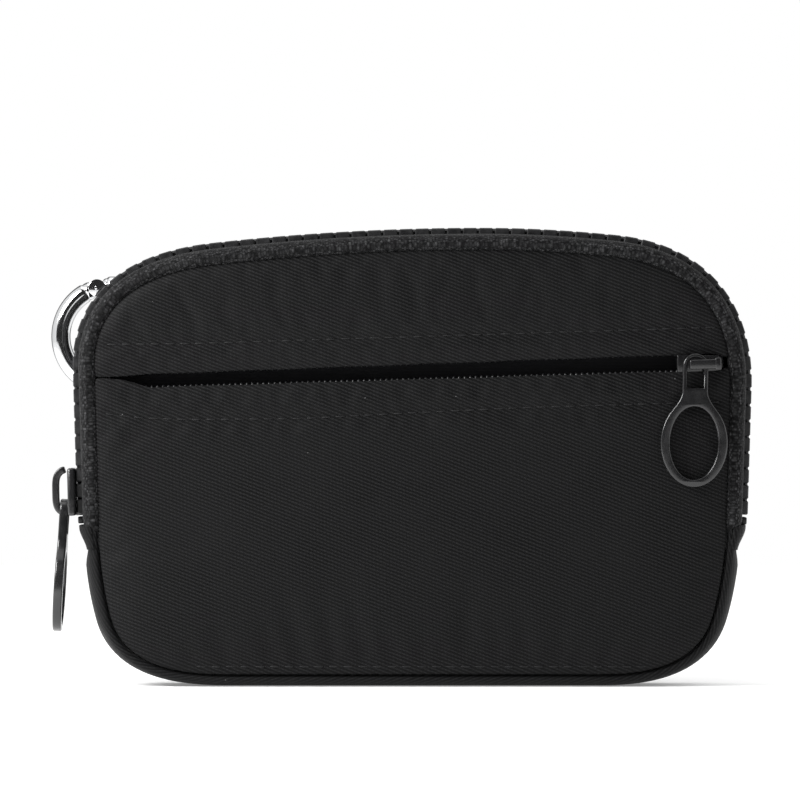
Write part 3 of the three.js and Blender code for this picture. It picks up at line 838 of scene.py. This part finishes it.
front_teeth = teeth_row("front_teeth", -1, 0.0)
back_teeth = teeth_row("back_teeth", 1, 0.5)
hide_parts("front_zip_teeth")
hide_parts("back_zip_teeth")
for piece in (front_tape, front_teeth):
    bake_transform(piece)
for piece in (back_tape, back_teeth):
    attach(piece, "shell")


def stop_piece(name, side, width, height, along, node, body):
    """A moulded stop clamped on the tape edge at one end of the teeth."""
    shape, faces = rounded_block((along, 1.5, width), (0, CHAIN_OUT, 0 if width > 4 else 1.5), 0.25, 2)
    across = -1 if "front" in name else 1
    place = zip_place(seam_at(height, side), across)
    piece = make_piece(name, shape @ place[:3, :3].T + place[:3, 3], [f[::across] for f in faces])
    dress(piece, MOULDED)
    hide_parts(node)
    if body == "fold":
        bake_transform(piece)
    else:
        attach(piece, body)


stop_piece("top_stop_front", "left", 1.8, 33.45, 1.4, "front_top_stop", "fold")
stop_piece("top_stop_back", "left", 1.8, 33.45, 1.4, "back_top_stop", "shell")
stop_piece("bottom_stop", "right", 5.2, 33.3, 1.5, "zip_bottom_stop", "shell")


# ---- Main slider and its puller -------------------------------------------------------------------
# Die-cast slider in glossy black lacquer: two plates joined by a thin neck, with a hook-shaped
# bridge that is open at its upper end, and a slotted ring puller hanging from it.
LACQUER = patchy("black lacquer", 0.2, 260.0, (0.006, 0.006, 0.0065), (0.012, 0.012, 0.0125), (0.14, 0.16),
                 Coat_Weight=0.25, Coat_Roughness=0.12)
LACQUER_TREE = LACQUER.node_tree
lacquer_place = LACQUER_TREE.nodes["Texture Coordinate"]
lacquer_peel = LACQUER_TREE.nodes.new("ShaderNodeTexNoise")
lacquer_peel.inputs["Scale"].default_value = 2200
LACQUER_TREE.links.new(lacquer_place.outputs["Object"], lacquer_peel.inputs["Vector"])
lacquer_skin = LACQUER_TREE.nodes.new("ShaderNodeBump")
lacquer_skin.inputs["Strength"].default_value = 0.35
lacquer_skin.inputs["Distance"].default_value = 0.02 * MM
LACQUER_TREE.links.new(lacquer_peel.outputs["Fac"], lacquer_skin.inputs["Height"])
LACQUER_TREE.links.new(lacquer_skin.outputs[0], LACQUER_TREE.nodes["Principled BSDF"].inputs["Normal"])

SLIDER_Z = 39.1
SIDE_LEAN = math.atan2(0.9, 30)


def bar_along(path, half_width, half_thick, corner, steps=6):
    """A bar with rounded corners swept along a path of points in mm, in the XZ plane."""
    path = np.array(path, float)
    ring = []
    for cx, cy, start in ((1, 1, 0), (-1, 1, 90), (-1, -1, 180), (1, -1, 270)):
        for k in range(steps):
            turn = math.radians(start + 90 * k / (steps - 1))
            ring.append(((half_thick - corner) * cx + corner * math.cos(turn),
                         (half_width - corner) * cy + corner * math.sin(turn)))
    ring = np.array(ring)
    along = np.gradient(path, axis=0)
    along /= np.linalg.norm(along, axis=1)[:, None]
    rows = []
    scales = np.ones(len(path))
    scales[0] = scales[-1] = 0.82
    for spot, way, scale in zip(path, along, scales):
        out = np.array([way[2], 0, -way[0]])
        rows.append(spot + scale * ring[:, :1] * out + scale * ring[:, 1:] * np.array([0, 1, 0]))
    count = len(ring)
    faces = grid_faces(len(rows), count, True)
    faces.append(tuple(range(count))[::-1])
    faces.append(tuple(range((len(rows) - 1) * count, len(rows) * count)))
    return np.vstack(rows), faces


def smooth_path(knots, count=40):
    """A rounded path through knots in mm, by repeated corner cutting."""
    path = np.array(knots, float)
    for _ in range(4):
        cutoff = np.stack([path[:-1] * 0.75 + path[1:] * 0.25, path[:-1] * 0.25 + path[1:] * 0.75], 1)
        path = np.vstack([path[:1], cutoff.reshape(-1, 3), path[-1:]])
    return space_out(path, max(0.15, np.linalg.norm(np.diff(path, axis=0), axis=1).sum() / count))


def plate(size, place, nose, corner, bevel):
    """A slider plate in mm: cut narrower at its tail, corners and rims rounded."""
    bpy.ops.mesh.primitive_cube_add(size=1 * MM)
    made = bpy.context.active_object
    bpy.ops.object.mode_set(mode="EDIT")
    bpy.ops.transform.resize(value=size)
    bpy.ops.object.mode_set(mode="OBJECT")
    for v in made.data.vertices:
        if v.co.z > 0:
            v.co.y *= nose
    thin = made.modifiers.new("rims", "BEVEL")
    thin.width = bevel * MM
    thin.segments = 3
    apply_modifiers(made)
    points, faces = take_mesh()
    return points + np.array(place), faces


def finish_metal(name, parts, matrix_mm, node, body, finish=LACQUER,
                 angle=35):
    points, faces = joined(*parts)
    points = points @ matrix_mm[:3, :3].T + matrix_mm[:3, 3]
    piece = make_piece(name, points, faces)
    bpy.ops.object.select_all(action="DESELECT")
    bpy.context.view_layer.objects.active = piece
    piece.select_set(True)
    bpy.ops.object.mode_set(mode="EDIT")
    bpy.ops.mesh.select_all(action="SELECT")
    bpy.ops.mesh.normals_make_consistent(inside=False)
    bpy.ops.object.mode_set(mode="OBJECT")
    bpy.ops.object.shade_smooth_by_angle(angle=math.radians(angle))
    piece.select_set(False)
    dress(piece, finish)
    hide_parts(node)
    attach(piece, body)


def turned_matrix(x, y, z, about_y):
    matrix = np.eye(4)
    matrix[:3, :3] = np.array(Matrix.Rotation(about_y, 3, "Y"))
    matrix[:3, 3] = (x, y, z)
    return matrix


slider_seam_x = -63.1 - (SLIDER_Z - 34) * math.tan(SIDE_LEAN)
slider_place = turned_matrix(slider_seam_x, 0, SLIDER_Z, -SIDE_LEAN)
hook = bar_along(smooth_path([(-5.8, 0, -3.2), (-7.6, 0, -4.3), (-8.9, 0, -3.0), (-8.95, 0, 0), (-8.85, 0, 2.9),
                              (-7.9, 0, 4.2), (-6.9, 0, 4.5)]), 0.9, 0.72, 0.32)
finish_metal(
    "main_zip_slider",
    [plate((1.1, 10.4, 9.6), (-0.85, 0, 0), 0.78, 1, 0.35), plate((1.65, 10.4, 9.6), (-5.53, 0, 0), 0.78, 1, 0.55),
     rounded_block((4.6, 0.6, 1.8), (-3.2, 0, -3.9), 0.12, 2),
     rounded_block((1.2, 2.4, 1.5), (-6.3, 0, -3.3), 0.35, 3),
     hook], slider_place, "main_slider", "main_slider")

PULLER_THICK = 1.8


def puller_outlines():
    """The slotted neck on an oval finger ring, crossbar at the origin: outside, slot, finger hole."""
    def arc(cx, cz, rx, rz, start, end, count):
        turn = np.radians(np.linspace(start, end, count))
        return np.stack([cx + rx * np.cos(turn), cz + rz * np.sin(turn)], 1)

    def curve(a, b, c, d, count=14):
        a, b, c, d = (np.array(p, float) for p in (a, b, c, d))
        t = np.linspace(0, 1, count)[1:-1, None]
        return a * (1 - t) ** 3 + 3 * b * t * (1 - t) ** 2 + 3 * c * t * t * (1 - t) + d * t ** 3

    neck, end = 2.55, -7.0
    join_x, join_z = 6.7 * math.cos(math.pi / 4), -17.5 + 8.8 * math.sin(math.pi / 4)
    outside = np.vstack([
        arc(0, 0.43 - neck, neck, neck, 0, 180, 24),
        curve((-neck, end), (-neck, end - 1.6), (0.97 - join_x, join_z + 1.27), (-join_x, join_z)),
        arc(0, -17.5, 6.7, 8.8, 135, 405, 72),
        curve((join_x, join_z), (join_x - 0.97, join_z + 1.27), (neck, end - 1.6), (neck, end))])
    slot = np.vstack([arc(0, 0.43 - neck, 1.7, 1.7, 0, 180, 18), [(-1.7, -6.5), (1.7, -6.5)]])
    finger = arc(0, -17.5, 4.8, 7.3, 0, 360, 73)[:-1]
    return outside, slot, finger


def puller_shape():
    """The puller as points and faces in mm, flat in the XZ plane, its rims rounded."""
    flat = bpy.data.curves.new("puller outline", "CURVE")
    flat.dimensions = "2D"
    flat.fill_mode = "BOTH"
    round_off = 0.36
    flat.extrude = (PULLER_THICK / 2 - round_off) * MM
    flat.bevel_depth = round_off * MM
    flat.bevel_resolution = 3
    flat.offset = -round_off * MM
    for outline in puller_outlines():
        spline = flat.splines.new("POLY")
        spline.points.add(len(outline) - 1)
        spline.use_cyclic_u = True
        for spot, (x, z) in zip(spline.points, outline):
            spot.co = (x * MM, z * MM, 0, 1)
    made = bpy.data.objects.new("puller outline", flat)
    bpy.context.collection.objects.link(made)
    bpy.ops.object.select_all(action="DESELECT")
    bpy.context.view_layer.objects.active = made
    made.select_set(True)
    bpy.ops.object.convert(target="MESH")
    made = bpy.context.active_object
    bpy.ops.object.mode_set(mode="EDIT")
    bpy.ops.mesh.select_all(action="SELECT")
    bpy.ops.mesh.remove_doubles(threshold=1e-6)
    bpy.ops.object.mode_set(mode="OBJECT")
    points, faces = take_mesh()
    return points[:, [0, 2, 1]] * np.array([1, -1, 1]), faces


PULLER = puller_shape()
puller_turn = turned_matrix(0, 0, 0, math.radians(3.5) + SIDE_LEAN)
quarter = np.eye(4)
quarter[:3, :3] = np.array(Matrix.Rotation(math.pi / 2, 3, "Z"))
hang = np.eye(4)
hang[:3, 3] = (-7.1, 0, -1.85)
finish_metal("main_zip_puller", [PULLER], slider_place @ hang @ puller_turn @ quarter,
             "main_puller", "main_puller", angle=50)


# ---- Pocket zip ------------------------------------------------------------------------------------
# Coil zip behind the two lips: a narrow woven tape on each side with a nylon coil on its edge,
# a metal stop at each end, and a small slider whose bridge bar carries the second ring puller.
def straight_tape(name, low, high):
    x = np.linspace(-60.4, 60.4, 90)
    rows = np.linspace(low, high, 5)
    points = np.array([(u, -7.35, zip_line(u) + h) for u in x for h in rows])
    faces = [(f[0], *f[:0:-1]) for f in grid_faces(len(x), len(rows))]
    piece = make_piece(name, points, faces, points[:, [0, 2]])
    thicken(piece, 0.35, 0)
    return piece


for side, sign in (("upper", 1), ("lower", -1)):
    tape = straight_tape("pocket_tape_" + side, *sorted((2.1 * sign, 8.5 * sign)))
    dress(tape, ZIP_TAPE)
    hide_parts("pocket_zip_tape_" + side)
    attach(tape, "front_flap")

COIL = patchy("nylon coil", 0.33, 500.0, (0.008, 0.008, 0.009), (0.022, 0.022, 0.023))
COIL_PITCH, COIL_Y = 1.12, -6.4
COIL_TURN = joined(*(
    (STITCH_POINTS * np.array([0.36, 0.3, 0.85]) + np.array([0.0, y, 0.0]), STITCH_FACES) for y in (-0.26, 0.26)))
for side, sign, shift in (("upper", 1, 0.5), ("lower", -1, 0.0)):
    places = []
    for k in range(int(120.8 / COIL_PITCH)):
        x = -60.3 + (k + shift) * COIL_PITCH
        inset = 1.72 if side == "lower" else upper_lip(x) - zip_line(x) + 0.42
        places.append(turned_matrix(x, COIL_Y, zip_line(x) + sign * inset, -ZIP_SLOPE + 0.12 * sign))
    coil = repeat_along("pocket_coil_turns_" + side, *COIL_TURN, places)
    dress(coil, COIL)
    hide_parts("pocket_coil_" + side)
    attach(coil, "front_flap")
for side, x in (("left", -61.5), ("right", 61.5)):
    finish_metal("pocket_end_stop_" + side, [rounded_block((1.2, 1.0, 5.6), (0, 0, 0), 0.3, 3)],
                 turned_matrix(x, COIL_Y, zip_line(x), -ZIP_SLOPE), "pocket_stop_" + side, "front_flap")

slider_x, post_x = 56.9, 55.9
pocket_place = turned_matrix(slider_x, 0, zip_line(slider_x), -ZIP_SLOPE)


def pocket_bar():
    """The bridge: a bar in front of two posts, its far end a little taller."""
    return joined(rounded_block((6.1, 1.2, 1.9), (1.1, -13.1, 0), 0.3, 3),
                  rounded_block((1.25, 1.35, 2.5), (3.7, -13.1, 0), 0.3, 3),
                  rounded_block((1.6, 5.0, 1.6), (-1.0, -10.6, 0), 0.45, 4),
                  rounded_block((1.1, 5.0, 1.8), (3.65, -10.6, 0), 0.3, 3))


def lying_plate(size, place, nose, bevel):
    points, faces = plate((size[1], size[2], size[0]), (0, 0, 0), nose, 1, bevel)
    return points[:, [2, 0, 1]] + np.array(place), faces


finish_metal(
    "pocket_zip_slider",
    [lying_plate((8.4, 0.7, 4.3), (0, -8.25, 0), 0.8, 0.25), lying_plate((8.4, 0.8, 8.6), (0, -5.2, 0), 0.8, 0.25),
     rounded_block((2.2, 2.8, 1.5), (-2.9, -6.7, 0), 0.2, 2), pocket_bar()],
    pocket_place, "pocket_slider", "pocket_slider")
finish_metal(
    "pocket_zip_puller", [PULLER],
    turned_matrix(post_x + 0.35, -11.1, zip_line(post_x) + 1.8, math.radians(1.2)),
    "pocket_puller", "pocket_puller", angle=50)


# ---- Spring-gate ring and its tab --------------------------------------------------------------------
# Polished round wire bent to a ring, with a hinged gate on a cross pin; it hangs in a short webbing
# loop sewn to the back panel with a boxed row of stitches.
CHROME = patchy("bright nickel", 0.07, 320.0, (0.68, 0.69, 0.7), (0.76, 0.765, 0.77), (0.06, 0.05),
                Metallic=1.0, Specular_Tint=(0.25, 0.25, 0.25, 1))
RING = (-61.7, 12.9, 70.4)
RING_RADIUS, WIRE = 10.25, 1.95


def wire_arc(start, end, swell=1.0, around=28, mitre=(0, 0)):
    """Round wire in mm, bent between two angles about the ring's centre, with rounded ends.
    mitre slants the first and the last end by so many degrees from its middle to its outside."""
    count = max(6, round(abs(end - start) / 3))
    turns = np.radians(np.linspace(start, end, count + 1))
    cap = np.radians(np.array([0.9, 0.5, 0.15]) * math.degrees(0.7 / RING_RADIUS))
    turns = np.concatenate([[turns[0]], turns[0] + cap[::-1] * np.sign(end - start), turns[1:-1],
                            turns[-1] - cap * np.sign(end - start), [turns[-1]]])
    turns = np.sort(turns) if end > start else np.sort(turns)[::-1]
    ends = np.minimum(abs(turns - turns[0]), abs(turns - turns[-1])) * RING_RADIUS
    radius = WIRE * swell * np.where(ends < 0.7, np.sqrt(np.clip(1 - (1 - ends / 0.7) ** 2 * 0.35, 0, 1)), 1)
    circle = np.linspace(0, 2 * math.pi, around + 1)[:-1]
    rows = []
    for turn, r in zip(turns, radius):
        near_ends = [max(0, 1 - abs(turn - t) * RING_RADIUS / 3) for t in (turns[0], turns[-1])]
        slant = sum(math.radians(m) * n for m, n in zip(mitre, near_ends))
        at = turn + slant * np.cos(circle) * r / WIRE
        out = np.stack([np.cos(at), np.zeros(around), np.sin(at)], 1)
        rows.append(out * (RING_RADIUS + r * np.cos(circle))[:, None] + np.outer(r * np.sin(circle), (0, 1, 0)))
    faces = grid_faces(len(rows), around, True)
    faces.append(tuple(range(around)))
    faces.append(tuple(range((len(rows) - 1) * around, len(rows) * around))[::-1])
    return np.vstack(rows), faces


ring_place = np.eye(4)
ring_place[:3, 3] = RING
pin_turn = math.radians(106)
pin = np.array([RING_RADIUS * math.cos(pin_turn), 0, RING_RADIUS * math.sin(pin_turn)])


def round_plate(radius, low_y, high_y, centre):
    bpy.ops.mesh.primitive_cylinder_add(vertices=32, radius=radius * MM, depth=(high_y - low_y) * MM)
    rims = bpy.context.active_object.modifiers.new("rims", "BEVEL")
    rims.width = 0.12 * MM
    rims.segments = 2
    apply_modifiers(bpy.context.active_object)
    points, faces = take_mesh()
    return points[:, [0, 2, 1]] + np.array(centre) + np.array([0, (low_y + high_y) / 2, 0]), faces


finish_metal(
    "ring_hoop", [wire_arc(118.5, 418.6, mitre=(0, 4.5)), round_plate(1.75, 1.2, 1.9, pin),
                  round_plate(1.75, -1.9, -1.2, pin), wire_arc(111, 121, 0.93)],
    ring_place, "ring_body", "ring", CHROME, 40)
finish_metal(
    "ring_gate_arm", [wire_arc(61.2, 94.5, mitre=(4.5, 0)), wire_arc(92, 98, 0.85),
                      round_plate(1.5, -0.85, 0.85, pin)],
    ring_place, "ring_gate", "gate", CHROME, 40)
finish_metal("ring_gate_pin", [round_plate(0.45, -2.0, 2.0, pin)], ring_place, "gate_pin", "ring",
             CHROME, 40)

WEBBING = woven("webbing", (0.003, 0.003, 0.0035), (0.03, 0.03, 0.032), 0.05, 0.09, 0, 0.1, 0.7, uneven=0.7)
tab_turn = math.radians(15)
tab_out = np.array([math.cos(tab_turn), 0, math.sin(tab_turn)])
tab_along = np.array([-math.sin(tab_turn), 0, math.cos(tab_turn)])
tab_centre = np.array(RING) + tab_out * RING_RADIUS


def tab_path():
    """The strap's middle line in its own plane (inwards, back) in mm: tail, round the wire, tail."""
    turn = np.radians(np.linspace(-28, 270, 40))
    loop = np.stack([3.1 * np.cos(turn), 3.1 * np.sin(turn)], 1)
    lower = np.stack([np.linspace(0, 14, 12), np.full(12, -3.2)], 1)[1:]
    upper = np.stack([np.linspace(14, 3.6, 10), np.full(10, -2.42)], 1)
    return np.vstack([upper, loop, lower])


def webbing_loop():
    """One strap folded round the wire, both layers flat on the back panel."""
    line = space_out(tab_path(), 0.5)
    across = np.linspace(-2.5, 2.5, 7)
    points = []
    for (u, v) in line:
        for w in across:
            points.append(tab_centre + tab_out * u + np.array([0, 1, 0]) * v + tab_along * w)
    travel = np.arange(len(line)) * 0.5
    uv = np.array([(t, w) for t in travel for w in across])
    piece = make_piece("ring_webbing", np.array(points), grid_faces(len(line), len(across)), uv)
    thicken(piece, 0.7, 0)
    return piece


webbing = webbing_loop()
dress(webbing, WEBBING)
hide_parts("ring_tab")
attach(webbing, "shell")
tab_corners = np.array([(5.2, -1.7), (12.9, -1.7), (12.9, 1.7), (5.2, 1.7), (5.2, -1.7)])
tab_line = np.array([(tab_centre + tab_out * u + tab_along * w)[[0, 2]] for u, w in tab_corners])
for k in range(4):
    tab_row = stitch_row(f"stitches_tab_{k}", tab_line[k:k + 2], webbing, 1, pitch=1.6, length=1.35, thick=0.18)
    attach(tab_row, "shell")


# ---- Floor, light and camera ---------------------------------------------------------------------------
# Plain pale floor in an evenly bright studio, a soft light from the upper left and a weaker one from
# the right. Two dark cards in front and two grey ones behind are seen only in reflections, where they
# give the polished metal its bands.
def plain_paper(name, colour, glow=0.0):
    finish, _, shader = start_material(name, 0.9)
    shader.inputs["Base Color"].default_value = (*colour, 1)
    if glow:
        shader.inputs["Emission Color"].default_value = (1, 1, 1, 1)
        shader.inputs["Emission Strength"].default_value = glow
    return finish


bpy.ops.mesh.primitive_plane_add(size=1.6, location=(0, 0, 0))
bpy.ops.object.mode_set(mode="EDIT")
bpy.ops.mesh.subdivide(number_cuts=3)
bpy.ops.object.mode_set(mode="OBJECT")
floor = bpy.context.active_object
floor.name = "paper_floor"
floor.data.materials.append(plain_paper("white paper", (0.9, 0.9, 0.9), 0.2))


def card(name, size, place, aim, glow=0.0, colour=(0, 0, 0)):
    bpy.ops.mesh.primitive_plane_add(size=1)
    made = bpy.context.active_object
    made.name = name
    made.scale = (size[0], size[1], 1)
    made.location = place
    made.rotation_euler = (Vector(aim) - Vector(place)).to_track_quat("Z", "Y").to_euler()
    made.data.materials.append(plain_paper(name + " face", colour, glow))
    made.visible_camera = False
    made.visible_shadow = False
    made.visible_diffuse = False


card("dark_card", (1.35, 1.7), (-0.5, -1.0, 0.15), (-0.04, 0, 0.06), colour=(0.01, 0.01, 0.01))
card("dark_front", (4.0, 2.4), (0.1, -1.5, 1.0), (0, 0, 0.3), colour=(0.01, 0.01, 0.01))
card("grey_edge_left", (0.22, 1.0), (-0.33, 0.42, 0.2), (-0.07, 0, 0.07), glow=0.2)
card("grey_edge_right", (0.2, 1.0), (0.2, 0.42, 0.2), (-0.05, 0, 0.07), glow=0.2)


def soft_light(name, place, aim, size, power):
    lamp = bpy.data.lights.new(name, "AREA")
    lamp.shape = "RECTANGLE"
    lamp.size, lamp.size_y = size
    lamp.energy = power
    made = bpy.data.objects.new(name, lamp)
    made.location = place
    made.rotation_euler = (Vector(aim) - Vector(place)).to_track_quat("-Z", "Y").to_euler()
    bpy.context.collection.objects.link(made)


soft_light("key_left", (-0.26, -0.15, 0.22), (-0.05, 0, 0.05), (0.14, 0.16), 1.5)
soft_light("fill_right", (0.95, -0.5, 0.35), (0, 0, 0.05), (0.2, 0.6), 0.3)
soft_light("top", (0, 0.1, 1.3), (0, 0.1, 0), (0.9, 0.9), 2)
world = bpy.data.worlds.new("studio")
world.use_nodes = True
world.node_tree.nodes["Background"].inputs["Color"].default_value = (1, 1, 1, 1)
world.node_tree.nodes["Background"].inputs["Strength"].default_value = 1.0
bpy.context.scene.world = world
bpy.context.scene.view_settings.view_transform = "Standard"

VIEW_WIDTH, LENS, SENSOR = 0.160, 250.0, 36.0
lens = bpy.data.cameras.new("camera")
lens.lens = LENS
lens.sensor_width = SENSOR
lens.clip_end = 20
camera = bpy.data.objects.new("camera", lens)
camera.location = (-0.0028, -0.009 - VIEW_WIDTH * LENS / SENSOR, 0.0574)
camera.rotation_euler = (math.pi / 2, 0, 0)
bpy.context.collection.objects.link(camera)
bpy.context.scene.camera = camera
